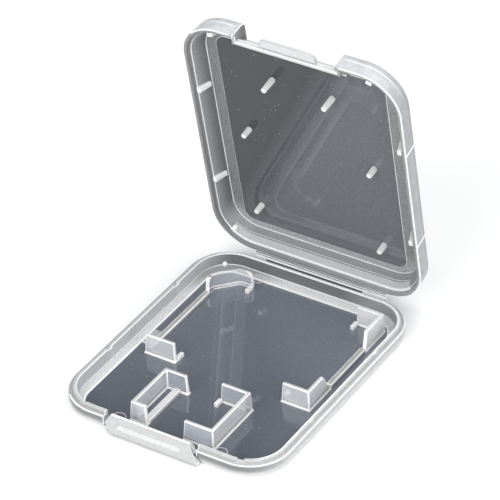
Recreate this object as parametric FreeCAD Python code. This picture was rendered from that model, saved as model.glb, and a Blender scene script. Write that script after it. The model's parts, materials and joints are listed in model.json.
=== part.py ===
import FreeCAD, Part
import math
import os

# Memory card case: a shallow tray and a lid joined by two living hinge webs.
# Millimetres, z up. The origin is on the table, under the middle of the tray.
# x runs along the hinge and y runs from the thumb lip to the hinge.

# Cards that the bays are sized for, and the play that each bay leaves
sd_long = 32.0
sd_wide = 24.0
sd_thick = 2.1
micro_long = 15.0
micro_wide = 11.0
micro_narrow = 9.7
micro_thick = 1.0
sd_play_long = 0.4
sd_play_wide = 0.65
micro_play_long = 0.37
micro_play_wide = 0.08

# Room round the bays, which sets the outside of the case
bay_gap = 6.1
side_room = 5.58
end_room = 5.46
half_x = (sd_long + sd_play_long) / 2 + side_room
half_y = (sd_wide + sd_play_wide + micro_wide + micro_play_wide + bay_gap) / 2 + end_room

# Heights above the table with the lid closed
pane_top = 0.7
border_rise = 0.2
border_top = pane_top + border_rise
lip_rise = 2.4
lip_top = pane_top + lip_rise
ledge_drop = 0.6
ledge_top = lip_top - ledge_drop
close_gap = 0.05
crest_height = ledge_top + close_gap
rim_height = lip_top + 2 * close_gap
lid_depth = 2.8
lid_floor = rim_height + lid_depth
lid_pane_rise = 0.12
lid_pane_face = lid_floor - lid_pane_rise
roof_thickness = 0.8
roof_top = lid_floor + roof_thickness

# Every wall runs round the same four corner centres, so one radius names one outline
outer_radius = 7.67
ledge_width = 0.75
lip_width = 0.7
corner_x = half_x - outer_radius
corner_y = half_y - outer_radius
lip_radius = outer_radius - ledge_width
inner_radius = lip_radius - lip_width
skirt_clear = 0.12
skirt_radius = lip_radius + skirt_clear
rim_step = 0.37
rim_radius = inner_radius + rim_step
lid_wall_lean = 1.45
lid_foot_radius = rim_radius - lid_wall_lean
bottom_round = 1.1
roof_round = 1.2
edge_round = 0.15

# How far a cutting shape runs past what it cuts
spare = 1.0

# Panes, each set inside its frame by the width of the frosted border
base_border_left = 3.65
base_pane_left = -half_x + base_border_left
base_border_right = 2.88
base_pane_right = half_x - base_border_right
base_border_back = 4.0
base_pane_back = half_y - base_border_back
base_border_front = 2.06
base_pane_front = -half_y + base_border_front
base_pane_corner = 4.2
lid_border_side = 2.2
lid_pane_half_x = corner_x + lid_foot_radius - lid_border_side
lid_border_end = 1.65
lid_pane_half_y = corner_y + lid_foot_radius - lid_border_end
lid_pane_corner = 2.4

# Hinge: the line that the lid turns about, and how far it stands open here
axis_reach = 0.89
axis_y = half_y + axis_reach
axis_drop = 0.37
axis_z = ledge_top - axis_drop
open_angle = 79.6
web_thickness = 0.3
web_spans = {
    "hinge_web_left": (-0.615 * half_x, -0.496 * half_x),
    "hinge_web_right": (0.432 * half_x, 0.643 * half_x)}
web_lid_rise = 0.35
web_lid_height = crest_height + web_lid_rise
web_clear = 0.02

# Card bays
bay_shift = 0.85
sd_left = bay_shift - (sd_long + sd_play_long) / 2
sd_right = sd_left + sd_long + sd_play_long
back_room = 6.76
sd_back = half_y - back_room
sd_front = sd_back - sd_wide - sd_play_wide
sd_cut_x = 3.35
sd_cut_y = 3.6
micro_shift = 0.085
micro_left = bay_shift - micro_shift - (micro_long + micro_play_long) / 2
micro_right = micro_left + micro_long + micro_play_long
micro_front = sd_front - bay_gap - micro_wide - micro_play_wide
micro_back = micro_front + micro_wide + micro_play_wide
micro_back_narrow = micro_front + micro_narrow + micro_play_wide

# Bracket walls lean on their outer side only, so the card faces stay upright
bracket_height = 4.05
corner_left_height = 3.45
foot_width = 0.85
top_width = 0.65
end_run = 0.25
rest_height = 0.85
rest_width = 0.8
rest_length = 1.75
rest_overhang = 0.3
rail_ledge = 0.25

# How far the bracket walls reach along the larger card's edges
corner_left_reach = 5.9
corner_left_depth = 5.2
corner_right_reach = 4.7
corner_right_depth = 6.2
left_stop_reach = 5.75
right_stop_reach = 4.9
right_stop_depth = 6.55

# How far the bracket walls reach along the smaller card's edges
clip_left_front_reach = 2.64
clip_left_back_reach = 4.17
clip_right_front_reach = 5.4
clip_right_back_reach = 5.3

# Places of the low pad beside the left rail and of the smaller card's long rest
rail_block_length = 5.65
micro_rest_start = 1.52
micro_rest_finish = 2.77

# Ends of the brackets
corner_left_front = sd_back - corner_left_depth
corner_left_end = sd_left + corner_left_reach
corner_left_run = 1.2
corner_right_start = sd_right - corner_right_reach
corner_right_front = sd_back - corner_right_depth
corner_right_run = 0.85
left_stop_past = 0.65
left_stop_start = sd_left - left_stop_past
left_stop_end = sd_left + left_stop_reach
right_stop_start = sd_right - right_stop_reach
right_stop_back = sd_front + right_stop_depth
right_stop_run = 2.25
clip_left_front_end = micro_left + clip_left_front_reach
clip_left_back_end = micro_left + clip_left_back_reach
clip_right_front_end = micro_right - clip_right_front_reach
clip_right_back_end = micro_right - clip_right_back_reach
rail_block_clear = 0.08
rail_block_left = base_pane_left + rail_block_clear
rail_block_back = sd_front + rail_block_length
micro_rest_left = micro_left + micro_rest_start
micro_rest_right = micro_left + micro_rest_finish

# Thumb lip at the front of the tray, in a gap of the wall
lip_cut_left = -0.503 * half_x
lip_cut_right = 0.36 * half_x
lip_side_gap = 0.35
lip_cut_depth = 1.31
lip_cut_face = -half_y + lip_cut_depth
lip_left = lip_cut_left + lip_side_gap
lip_right = lip_cut_right - lip_side_gap
lip_root_gap = 0.15
lip_root = lip_cut_face - lip_root_gap
lip_under = 0.1
lip_under_depth = 0.06
lip_toe_reach = 1.14
lip_toe_height = 0.4
lip_nose_reach = 1.24
lip_nose_height = 0.75
lip_crown_depth = 0.86
lip_crown_height = 2.6
lip_back_depth = 1.46
lip_back_height = 2.15
lip_web_depth = 0.26
lip_web_height = 1.0
lip_root_height = 0.75
lip_profile = [
    (lip_root, lip_under), (-half_y + lip_under_depth, lip_under),
    (-half_y - lip_toe_reach, lip_toe_height), (-half_y - lip_nose_reach, lip_nose_height),
    (-half_y + lip_crown_depth, lip_crown_height), (-half_y + lip_back_depth, lip_crown_height),
    (-half_y + lip_back_depth, lip_back_height), (-half_y + lip_web_depth, lip_web_height),
    (lip_root, lip_root_height)]
lip_fall_left = 0.5
lip_top_left = lip_left + lip_fall_left
lip_fall_right = 1.5
lip_top_right = lip_right - lip_fall_right
lip_shoulder = 1.6
lip_foot_cut = 2.2
lip_foot_left = lip_left + lip_foot_cut
lip_foot_height = 0.55
lip_skirt_run = 1.1
lip_skirt_right = lip_right + lip_skirt_run
lip_skirt_gap = 0.12
groove_margin_left = 2.5
groove_left = lip_left + groove_margin_left
groove_margin_right = 2.6
groove_right = lip_right - groove_margin_right
groove_height = 0.95
groove_depth = 0.22
groove_corner = 0.43
groove_drop = 0.1

# Thumb scoop and tab at the front of the lid
scoop_left = -0.4936 * half_x
scoop_right = 0.4316 * half_x
scoop_depth = 4.76
scoop_back = -half_y + scoop_depth
scoop_bend = 3.8
scoop_foot_depth = 2.51
scoop_inner_low = -half_y + scoop_foot_depth
scoop_head_depth = 4.29
scoop_inner_high = -half_y + scoop_head_depth
scoop_outer_foot = 1.86
scoop_outer_bend = 1.76
scoop_outer_rise = 0.2
scoop_outer_head = 4.16
scoop_profile = [
    (-half_y + scoop_outer_foot, rim_height), (-half_y + scoop_outer_bend, scoop_bend + scoop_outer_rise),
    (-half_y + scoop_outer_head, roof_top),
    (scoop_back, roof_top), (scoop_back, lid_pane_face), (scoop_inner_high, lid_pane_face),
    (scoop_inner_low, scoop_bend), (scoop_inner_low, rim_height)]
cheek_foot_depth = 0.76
cheek_head_depth = 1.36
cheek_lap = 0.1
cheek_top = lid_floor + cheek_lap
cheek_profile = [
    (-half_y + cheek_foot_depth, rim_height), (scoop_inner_low, rim_height), (scoop_inner_low, scoop_bend),
    (scoop_inner_high, lid_pane_face), (scoop_inner_high, cheek_top), (-half_y + cheek_head_depth, cheek_top)]
cheek_width = 0.7
tab_left = -0.28 * half_x
tab_right = 0.239 * half_x
tab_overhang = 0.1
tab_front = -half_y - tab_overhang
tab_root_depth = 2.36
tab_root = -half_y + tab_root_depth
tab_rise = 0.4
tab_low = rim_height + tab_rise
tab_thick = 0.55
tab_corner = 1.1

# Posts of the lid, which end at the top face of a card lying on its rests
card_floor = pane_top + rest_height
sd_post_tip = card_floor + sd_thick
micro_post_tip = card_floor + micro_thick
post_foot_radius = 0.6
post_tip_radius = 0.5
post_round = 0.2
sd_post_x = 0.4 * sd_long
sd_post_inset_front = 3.8
sd_post_front = sd_front + sd_post_inset_front
sd_post_inset_back = 2.15
sd_post_back = sd_back - sd_post_inset_back
micro_post_x = 0.403 * micro_long
micro_post_inset = 6.85
micro_post_y = micro_front + micro_post_inset
posts = {
    "sd_post_front_left": (-sd_post_x, sd_post_front, sd_post_tip),
    "sd_post_front_right": (sd_post_x, sd_post_front, sd_post_tip),
    "sd_post_back_left": (-sd_post_x, sd_post_back, sd_post_tip),
    "sd_post_back_right": (sd_post_x, sd_post_back, sd_post_tip),
    "micro_post_left": (-micro_post_x, micro_post_y, micro_post_tip),
    "micro_post_right": (micro_post_x, micro_post_y, micro_post_tip)}

# Lugs of the lid, each with a toe that drops into a notch of the tray's lip
lug_width = 1.1
lug_drop = 0.25
lug_toe = lip_top - lug_drop
lug_rim_thickness = 0.85
lug_inner_rim = rim_radius - lug_rim_thickness
lug_head_thickness = 0.2
lug_inner_top = lid_foot_radius - lug_head_thickness
lug_head_drop = 0.6
lug_top = lid_floor - lug_head_drop
notch_side_play = 0.3
notch_width = lug_width + notch_side_play
notch_margin = 0.3
notch_floor_play = 0.1
notch_floor = lug_toe - notch_floor_play
side_lug_front = -0.388 * half_y
side_lug_back = 0.435 * half_y
front_lug_angle = 16.0
lug_places = {
    "lug_left_front": (-corner_x, side_lug_front, 180.0),
    "lug_left_back": (-corner_x, side_lug_back, 180.0),
    "lug_right_front": (corner_x, side_lug_front, 0.0),
    "lug_right_back": (corner_x, side_lug_back, 0.0),
    "lug_front_left": (-corner_x, -corner_y, -90.0 - front_lug_angle),
    "lug_front_right": (corner_x, -corner_y, -90.0 + front_lug_angle)}

# Stiffening step along the hinge wall of the lid
rib_half_length = corner_x
rib_rise = 1.3
rib_low = rim_height + rib_rise
rib_root = corner_y + rim_radius
rib_foot_depth = 1.05
rib_head_depth = 1.6
rib_profile = [(rib_root, rib_low), (rib_root - rib_foot_depth, rib_low),
               (rib_root - rib_head_depth, lid_floor), (rib_root, lid_floor)]

# Moulding pips in the back left corners
pip_radius = 0.5
base_pip_angle = 126.7
lid_pip_angle = 130.7
base_pip_inset = 0.4
base_pip_reach = inner_radius - base_pip_inset
base_pip_rise = 0.2
base_pip_height = border_top + base_pip_rise
lid_pip_rise = 0.55
lid_pip_height = rim_height + lid_pip_rise
lid_pip_inset = 0.35
lid_pip_reach = rim_radius - lid_pip_inset


def point(x, y, z):
    return FreeCAD.Vector(x, y, z)


def rounded_wire(x0, x1, y0, y1, radius, z):
    """Closed outline of a rectangle with round corners."""
    diagonal = radius * math.sqrt(0.5)
    centres = [(x1 - radius, y0 + radius), (x1 - radius, y1 - radius),
               (x0 + radius, y1 - radius), (x0 + radius, y0 + radius)]
    starts = [(0, -1), (1, 0), (0, 1), (-1, 0)]
    ends = [(1, 0), (0, 1), (-1, 0), (0, -1)]
    middles = [(1, -1), (1, 1), (-1, 1), (-1, -1)]
    edges = []
    last = None
    first = None
    for centre, start, middle, end in zip(centres, starts, middles, ends):
        a = point(centre[0] + radius * start[0], centre[1] + radius * start[1], z)
        b = point(centre[0] + diagonal * middle[0], centre[1] + diagonal * middle[1], z)
        c = point(centre[0] + radius * end[0], centre[1] + radius * end[1], z)
        if last is None:
            first = a
        else:
            edges.append(Part.LineSegment(last, a).toShape())
        edges.append(Part.Arc(a, b, c).toShape())
        last = c
    edges.append(Part.LineSegment(last, first).toShape())
    return Part.Wire(edges)


def outline(radius, z):
    """The case's own outline at one distance from its corner centres."""
    half_x = corner_x + radius
    half_y = corner_y + radius
    return rounded_wire(-half_x, half_x, -half_y, half_y, radius, z)


def raised(wire, height):
    return Part.Face(wire).extrude(point(0, 0, height))


def slab(radius, low, high):
    return raised(outline(radius, low), high - low)


def box(x0, x1, y0, y1, z0, z1):
    return Part.makeBox(x1 - x0, y1 - y0, z1 - z0, point(x0, y0, z0))


def along_x(profile, x0, x1):
    """A profile of (y, z) points drawn out from x0 to x1."""
    corners = [point(x0, y, z) for y, z in profile]
    wire = Part.makePolygon(corners + corners[:1])
    return Part.Face(wire).extrude(point(x1 - x0, 0, 0))


def level_edges(shape, height):
    """The edges of a shape that lie wholly at one height."""
    found = []
    for edge in shape.Edges:
        heights = [vertex.Point.z for vertex in edge.Vertexes]
        if max(abs(z - height) for z in heights) < 1e-6:
            found.append(edge)
    return found


def moved_along(start, towards, distance):
    length = math.hypot(towards[0] - start[0], towards[1] - start[1])
    share = distance / length
    x = start[0] + share * (towards[0] - start[0])
    y = start[1] + share * (towards[1] - start[1])
    return (x, y)


def shifted(path, side, width):
    """The path moved sideways, to the left for side 1 and to the right for side -1."""
    normals = []
    for a, b in zip(path, path[1:]):
        length = math.hypot(b[0] - a[0], b[1] - a[1])
        normals.append((-side * (b[1] - a[1]) / length, side * (b[0] - a[0]) / length))
    result = []
    for index, (x, y) in enumerate(path):
        before = normals[max(index - 1, 0)]
        after = normals[min(index, len(normals) - 1)]
        share = width / (1 + before[0] * after[0] + before[1] * after[1])
        result.append((x + share * (before[0] + after[0]), y + share * (before[1] + after[1])))
    return result


def wall_wire(path, side, width, start_run, finish_run, z):
    inner = list(path)
    inner[0] = moved_along(path[0], path[1], start_run)
    inner[-1] = moved_along(path[-1], path[-2], finish_run)
    ring = inner + shifted(inner, side, width)[::-1]
    corners = [point(x, y, z) for x, y in ring]
    return Part.makePolygon(corners + corners[:1])


def bracket(path, side, height, start_run, finish_run):
    """An upright wall along a path of card faces, leaning on its far side and at its ends."""
    foot = wall_wire(path, side, foot_width, 0, 0, pane_top)
    top = wall_wire(path, side, top_width, start_run, finish_run, pane_top + height)
    wall = Part.makeLoft([foot, top], True, True)
    return wall.makeFillet(edge_round, level_edges(wall, pane_top + height))


def rest(x0, x1, y0, y1):
    """A low block that a card lies on."""
    return box(x0, x1, y0, y1, pane_top, pane_top + rest_height)


def radial(profile, width, place):
    """A profile of (reach, z) points, set upright at a place and turned to face outwards."""
    x, y, angle = place
    corners = [point(reach, -width / 2, z) for reach, z in profile]
    wire = Part.makePolygon(corners + corners[:1])
    shape = Part.Face(wire).extrude(point(0, width, 0))
    shape.rotate(point(0, 0, 0), point(0, 0, 1), angle)
    shape.translate(point(x, y, 0))
    return shape


def pip(angle, reach, height):
    turn = math.radians(angle)
    x = -corner_x + reach * math.cos(turn)
    y = corner_y + reach * math.sin(turn)
    return Part.makeSphere(pip_radius, point(x, y, height))


def opened(shape):
    """Turn a piece of the closed lid up to where the lid stands."""
    shape.rotate(point(0, axis_y, axis_z), point(1, 0, 0), -open_angle)
    return shape


def opened_point(y, z):
    turn = math.radians(open_angle)
    dy = y - axis_y
    dz = z - axis_z
    new_y = axis_y + dy * math.cos(turn) + dz * math.sin(turn)
    new_z = axis_z - dy * math.sin(turn) + dz * math.cos(turn)
    return (new_y, new_z)


nodes = {}

# Tray frame: floor border, wall, ledge and lip, with notches for the lugs
tray = slab(outer_radius, 0, ledge_top)
tray = tray.makeFillet(bottom_round, level_edges(tray, 0))
tray = tray.makeFillet(edge_round, level_edges(tray, ledge_top))
tray = tray.fuse(slab(lip_radius, border_top, lip_top))
tray = tray.cut(slab(inner_radius, border_top, lip_top + spare))
base_pane_wire = rounded_wire(base_pane_left, base_pane_right, base_pane_front,
                              base_pane_back, base_pane_corner, 0)
tray = tray.cut(raised(base_pane_wire, border_top + spare))
notch_inner = inner_radius - notch_margin
notch_outer = lip_radius + notch_margin
notch_profile = [(notch_inner, notch_floor), (notch_outer, notch_floor),
                 (notch_outer, lip_top + spare), (notch_inner, lip_top + spare)]
for place in lug_places.values():
    tray = tray.cut(radial(notch_profile, notch_width, place))
tray_front = -half_y - spare
tray = tray.cut(box(lip_cut_left, lip_cut_right, tray_front, lip_cut_face,
                    -spare, lip_top + spare))
inner_front = -(corner_y + inner_radius) + notch_margin
tray = tray.cut(box(lip_cut_left, lip_cut_right, tray_front, inner_front,
                    border_top, lip_top + spare))
nodes["base_frame"] = tray.removeSplitter()
nodes["base_window"] = raised(base_pane_wire, pane_top)

# Card brackets
nodes["card_corner_left"] = bracket(
    [(sd_left, corner_left_front), (sd_left, sd_back - sd_cut_y),
     (sd_left + sd_cut_x, sd_back), (corner_left_end, sd_back)],
    1, corner_left_height, corner_left_run, corner_left_run)
nodes["card_corner_right"] = bracket(
    [(corner_right_start, sd_back), (sd_right, sd_back), (sd_right, corner_right_front)],
    1, bracket_height, end_run, corner_right_run)
nodes["left_stop"] = bracket(
    [(left_stop_start, sd_front), (left_stop_end, sd_front)],
    -1, bracket_height, end_run, end_run)
nodes["right_stop"] = bracket(
    [(right_stop_start, sd_front), (sd_right, sd_front), (sd_right, right_stop_back)],
    -1, bracket_height, end_run, right_stop_run)
nodes["micro_clip_left"] = bracket(
    [(clip_left_front_end, micro_front), (micro_left, micro_front),
     (micro_left, micro_back_narrow), (clip_left_back_end, micro_back_narrow)],
    1, bracket_height, end_run, end_run)
nodes["micro_clip_right"] = bracket(
    [(clip_right_front_end, micro_front), (micro_right, micro_front),
     (micro_right, micro_back), (clip_right_back_end, micro_back)],
    -1, bracket_height, end_run, end_run)

# Side rails of the larger bay, level with the rests and reaching a little under the card
rail_top = pane_top + rest_height
left_rail = box(sd_left - foot_width, sd_left + rail_ledge, sd_front, corner_left_front,
                pane_top, rail_top)
rail_block = box(rail_block_left, sd_left, sd_front, rail_block_back, pane_top, border_top)
nodes["left_rail"] = left_rail.fuse(rail_block).removeSplitter()
nodes["right_rail"] = box(sd_right - rail_ledge, sd_right + foot_width,
                          right_stop_back, corner_right_front, pane_top, rail_top)

# Rests that hold the cards clear of the pane, each standing a little past the end of its wall
rest_back = sd_back - rest_length
rest_inner = rest_width - rest_overhang
nodes["rest_back_left"] = rest(corner_left_end - rest_inner, corner_left_end + rest_overhang,
                               rest_back, sd_back)
nodes["rest_back_right"] = rest(corner_right_start - rest_overhang, corner_right_start + rest_inner,
                                rest_back, sd_back)
nodes["rest_left_stop"] = rest(left_stop_end - rest_inner, left_stop_end + rest_overhang,
                               sd_front, sd_front + rest_length)
nodes["rest_right_stop"] = rest(right_stop_start - rest_overhang, right_stop_start + rest_inner,
                                sd_front, sd_front + rest_length)
nodes["rest_micro_left"] = rest(micro_rest_left, micro_rest_right, micro_front, micro_back_narrow)
nodes["rest_micro_right"] = rest(clip_right_back_end - rest_overhang, clip_right_back_end + rest_inner,
                                 micro_back - rest_length, micro_back)
nodes["base_pip"] = pip(base_pip_angle, base_pip_reach, base_pip_height).cut(nodes["base_frame"])

# Thumb lip: a sloped flap, cut free of the wall at both ends, with a shallow groove.
# Its foot runs on past the right slit, in front of the wall, and is cut away on the left.
flap = along_x(lip_profile, lip_left, lip_right)
flap_top = max(z for y, z in lip_profile)
flap_front = min(y for y, z in lip_profile) - spare
skirt_room = box(lip_left, lip_skirt_right, flap_front, -half_y - lip_skirt_gap, 0, flap_top)
flap = flap.fuse(along_x(lip_profile, lip_right, lip_skirt_right).common(skirt_room))
right_fall = (flap_top - lip_shoulder) / (lip_right - lip_top_right)
skirt_end = flap_top - right_fall * (lip_skirt_right - lip_top_right)
end_cuts = [
    [(lip_top_left, flap_top), (lip_left, lip_shoulder), (lip_left, flap_top)],
    [(lip_top_right, flap_top), (lip_skirt_right, skirt_end), (lip_skirt_right, flap_top)],
    [(lip_left, lip_shoulder), (lip_foot_left, lip_foot_height), (lip_foot_left, 0), (lip_left, 0)]]
for cut in end_cuts:
    corners = [point(x, flap_front, z) for x, z in cut]
    corner = Part.Face(Part.makePolygon(corners + corners[:1]))
    flap = flap.cut(corner.extrude(point(0, -flap_front, 0)))
flap = flap.removeSplitter()
slope_low = lip_profile[3]
slope_high = lip_profile[4]
slope_angle = math.degrees(math.atan2(slope_high[1] - slope_low[1], slope_high[0] - slope_low[0]))
groove_wire = rounded_wire(groove_left, groove_right, -groove_height / 2, groove_height / 2,
                           groove_corner, -groove_depth)
groove = raised(groove_wire, 2 * groove_depth)
groove.rotate(point(0, 0, 0), point(1, 0, 0), slope_angle)
groove.translate(point(0, (slope_low[0] + slope_high[0]) / 2 - groove_drop,
                       (slope_low[1] + slope_high[1]) / 2 - groove_drop))
nodes["thumb_lip"] = flap.cut(groove)

# Lid frame, drawn closed: skirt, sloping inner wall, border and rounded roof edge
cover = slab(outer_radius, crest_height, roof_top)
cover = cover.makeFillet(roof_round, level_edges(cover, roof_top))
cover = cover.makeFillet(edge_round, level_edges(cover, crest_height))
cover = cover.cut(slab(skirt_radius, crest_height - spare, rim_height))
hollow = Part.makeLoft([outline(rim_radius, rim_height), outline(lid_foot_radius, lid_floor)],
                       True, True)
cover = cover.cut(hollow)
lid_pane_wire = rounded_wire(-lid_pane_half_x, lid_pane_half_x, -lid_pane_half_y,
                             lid_pane_half_y, lid_pane_corner, lid_pane_face)
lid_pane = raised(lid_pane_wire, roof_top - lid_pane_face)
scoop_room = box(scoop_left, scoop_right, tray_front, scoop_back, 0, roof_top + spare)
cover = cover.cut(lid_pane).cut(scoop_room).removeSplitter()
lid_pane = lid_pane.cut(scoop_room)

# Thumb scoop: a sloping front wall set back between two cheeks, and the tab on it
scoop = along_x(scoop_profile, scoop_left, scoop_right)
scoop = scoop.fuse(along_x(cheek_profile, scoop_left - cheek_width, scoop_left))
scoop = scoop.fuse(along_x(cheek_profile, scoop_right, scoop_right + cheek_width))
scoop = scoop.cut(cover).cut(lid_pane).removeSplitter()
tab = box(tab_left, tab_right, tab_front, tab_root, tab_low, tab_low + tab_thick)
tab_corners = []
for edge in tab.Edges:
    upright = abs(edge.Vertexes[0].Point.z - edge.Vertexes[-1].Point.z) > tab_thick / 2
    if upright and edge.Vertexes[0].Point.y < (tab_front + tab_root) / 2:
        tab_corners.append(edge)
tab = tab.makeFillet(tab_corner, tab_corners)
tab = tab.cut(scoop)

lid_nodes = {"lid_frame": cover, "lid_window": lid_pane, "lid_scoop": scoop, "lid_tab": tab}

# Posts that keep the cards down
for name, (x, y, tip) in posts.items():
    post = Part.makeCone(post_foot_radius, post_tip_radius, lid_pane_face - tip,
                         point(x, y, lid_pane_face), point(0, 0, -1))
    lid_nodes[name] = post.makeFillet(post_round, level_edges(post, tip))

# Lugs, pip and stiffening step, each trimmed to the wall that it stands on
lug_profile = [(lug_inner_rim, lug_toe), (rim_radius - close_gap, lug_toe), (rim_radius, rim_height),
               (rim_radius, lug_top), (lug_inner_top, lug_top), (lug_inner_rim, rim_height)]
for name, place in lug_places.items():
    lid_nodes[name] = radial(lug_profile, lug_width, place).cut(cover)
lid_nodes["lid_pip"] = pip(lid_pip_angle, lid_pip_reach, lid_pip_height).cut(cover)
lid_nodes["hinge_rib"] = along_x(rib_profile, -rib_half_length, rib_half_length).cut(cover)

for name, shape in lid_nodes.items():
    nodes[name] = opened(shape)

# Hinge webs: thin bands from the tray's back wall, round the axis, to the lid's skirt
half_web = web_thickness / 2
lid_low = opened_point(half_y + web_clear, web_lid_height - half_web)
lid_high = opened_point(half_y + web_clear, web_lid_height + half_web)
tray_flange = [(half_y, axis_z - half_web), (axis_y, axis_z - half_web),
               (axis_y, axis_z + half_web), (half_y, axis_z + half_web)]
lid_flange = [(axis_y - half_web, axis_z), (axis_y + half_web, axis_z), lid_high, lid_low]
for name, (x0, x1) in web_spans.items():
    fold = Part.makeCylinder(half_web, x1 - x0, point(x0, axis_y, axis_z), point(1, 0, 0))
    web = fold.fuse(along_x(tray_flange, x0, x1)).fuse(along_x(lid_flange, x0, x1))
    nodes[name] = web.removeSplitter()

os.makedirs("parts", exist_ok=True)
for name, shape in nodes.items():
    shape.exportStep("parts/" + name + ".step")
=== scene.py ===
import bmesh
import bpy
import json
import math
from collections import namedtuple
from mathutils import Matrix, Vector


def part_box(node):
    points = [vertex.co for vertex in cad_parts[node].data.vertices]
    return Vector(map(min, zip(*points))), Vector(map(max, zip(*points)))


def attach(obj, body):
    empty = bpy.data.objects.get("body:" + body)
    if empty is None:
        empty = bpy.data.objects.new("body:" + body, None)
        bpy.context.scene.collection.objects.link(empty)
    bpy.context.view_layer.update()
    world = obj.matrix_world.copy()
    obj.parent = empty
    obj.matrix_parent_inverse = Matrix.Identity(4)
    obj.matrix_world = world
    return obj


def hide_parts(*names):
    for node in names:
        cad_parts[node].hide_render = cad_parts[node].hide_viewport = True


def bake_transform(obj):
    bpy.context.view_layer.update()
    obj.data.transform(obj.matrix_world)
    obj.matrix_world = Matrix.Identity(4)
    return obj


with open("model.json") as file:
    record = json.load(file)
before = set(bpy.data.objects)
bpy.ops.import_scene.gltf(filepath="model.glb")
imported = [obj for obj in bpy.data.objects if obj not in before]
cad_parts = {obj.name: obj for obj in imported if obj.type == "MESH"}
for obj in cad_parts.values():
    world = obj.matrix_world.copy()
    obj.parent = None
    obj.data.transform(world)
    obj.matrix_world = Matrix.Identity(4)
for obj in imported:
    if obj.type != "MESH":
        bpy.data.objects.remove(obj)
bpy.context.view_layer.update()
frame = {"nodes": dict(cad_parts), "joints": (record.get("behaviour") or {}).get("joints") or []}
nodes = frame["nodes"]
MM = 0.001

# Camera, fitted to the straight edges of the photograph (pixels of its 500 by 500 frame)
FRAME_PIXELS = 500.0
FOCAL_PIXELS = 3191.69
CENTRE_X = 238.837
CENTRE_Y = 351.576
# Its angles in degrees, and its lengths in millimetres
AZIMUTH = 32.942
ELEVATION = 35.546
ROLL = -2.024
DISTANCE = 559.264
TARGET_HEIGHT = 3.1
SENSOR = 36.0
CLIP_START = 10.0
CLIP_END = 10000.0


# Sizes taken from the frame (millimetres)

def size_of(name):
    """The lowest and highest corners of a node."""
    low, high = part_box(name)
    return low / MM, high / MM


tray_high = size_of("base_frame")[1]
pane_low, pane_high = size_of("base_window")
HALF_X = tray_high.x
HALF_Y = tray_high.y
LIP_TOP = tray_high.z
PANE_TOP = pane_high.z
hinge = next(joint for joint in frame["joints"] if joint["name"] == "lid_hinge")
AXIS_Y = hinge["pos_m"][1] / MM
AXIS_Z = hinge["pos_m"][2] / MM
OPEN_ANGLE = math.radians(-hinge["range_deg"][0])

# Thicknesses, steps and drafts of the walls
LEDGE_WIDTH = 0.75
LIP_THICKNESS = 0.7
LIP_HEIGHT = 0.6
SKIRT_CLEARANCE = 0.12
RIM_WIDTH = 0.45
RIM_CLEARANCE = 0.1
CREST_CLEARANCE = 0.05
LID_WALL_RUN = 1.45
LID_BORDER_SIDE = 2.2
LID_BORDER_END = 1.65
LID_PANE_RISE = 0.12
BORDER_RISE = 0.2
STEP_RISE = 1.3
WALL_DRAFT = 0.3
LID_DRAFT = 0.4
BOTTOM_ROUND = 1.1
ROOF_ROUND = 1.2

# Radii of the walls, measured from the corner centres
OUTER_RADIUS = 7.67
LIP_RADIUS = OUTER_RADIUS - LEDGE_WIDTH
INNER_RADIUS = LIP_RADIUS - LIP_THICKNESS
SKIRT_RADIUS = LIP_RADIUS + SKIRT_CLEARANCE
RIM_RADIUS = SKIRT_RADIUS - RIM_WIDTH
LID_FOOT_RADIUS = RIM_RADIUS - LID_WALL_RUN

# Rectangles of corner centres: left, right, front and rear
CORNER_X = HALF_X - OUTER_RADIUS
CORNER_Y = HALF_Y - OUTER_RADIUS
CASE = (-CORNER_X, CORNER_X, -CORNER_Y, CORNER_Y)
PANE_CORNER = 4.2
PANE = (pane_low.x + PANE_CORNER, pane_high.x - PANE_CORNER,
        pane_low.y + PANE_CORNER, pane_high.y - PANE_CORNER)
LID_PANE_CORNER = 2.4
LID_PANE_X = CORNER_X + LID_FOOT_RADIUS - LID_BORDER_SIDE - LID_PANE_CORNER
LID_PANE_Y = CORNER_Y + LID_FOOT_RADIUS - LID_BORDER_END - LID_PANE_CORNER
LID_PANE = (-LID_PANE_X, LID_PANE_X, -LID_PANE_Y, LID_PANE_Y)

# Heights of the closed case
BORDER_TOP = PANE_TOP + BORDER_RISE
LEDGE_TOP = LIP_TOP - LIP_HEIGHT
CREST = LEDGE_TOP + CREST_CLEARANCE
RIM_HEIGHT = LIP_TOP + RIM_CLEARANCE
STEP_HEIGHT = RIM_HEIGHT + STEP_RISE
LID_FLOOR = 6.0
LID_PANE_FACE = LID_FLOOR - LID_PANE_RISE
ROOF_TOP = 6.8
# Height and width of the painted highlight band on the lid's outer wall
HIGHLIGHT_BAND = 4.9
HIGHLIGHT_BAND_WIDTH = 0.3

# Openings and notches
LIP_CUT_LEFT = -10.955
LIP_CUT_RIGHT = 7.84
LIP_CUT_OUT = 0.14
LIP_CUT_FACE = -CORNER_Y - INNER_RADIUS - LIP_CUT_OUT
SCOOP_LEFT = -10.75
SCOOP_RIGHT = 9.4
BLOCK_END = 0.7
NOTCH_DEPTH = 0.35
NOTCH_WIDTH = 1.4
NOTCH_RAMP = 0.08
NOTCH_SIDES = (-10.23, 11.47)
# The notches at the front corners, in degrees round the corner
NOTCH_ANGLE = 16.0
NOTCH_RAMP_ANGLE = 0.6
NOTCH_CLEAR_ANGLE = 0.5

# Roundings and steps of the curves
SOFT = 0.12
SOFT_MIDDLE = 0.04
CORNER_STEPS = 14
ARC_STEPS = 8
BEVEL_STEPS = 2
SHARP_ANGLE = 35.0
BEVEL_ANGLE = 28.0
BEVEL_WIDTH = 0.13


def opened(point):
    """A point of the closed lid, turned to where the open lid holds it."""
    x, y, z = point
    dy = y - AXIS_Y
    dz = z - AXIS_Z
    return (x,
            AXIS_Y + dy * math.cos(OPEN_ANGLE) + dz * math.sin(OPEN_ANGLE),
            AXIS_Z - dy * math.sin(OPEN_ANGLE) + dz * math.cos(OPEN_ANGLE))


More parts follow.
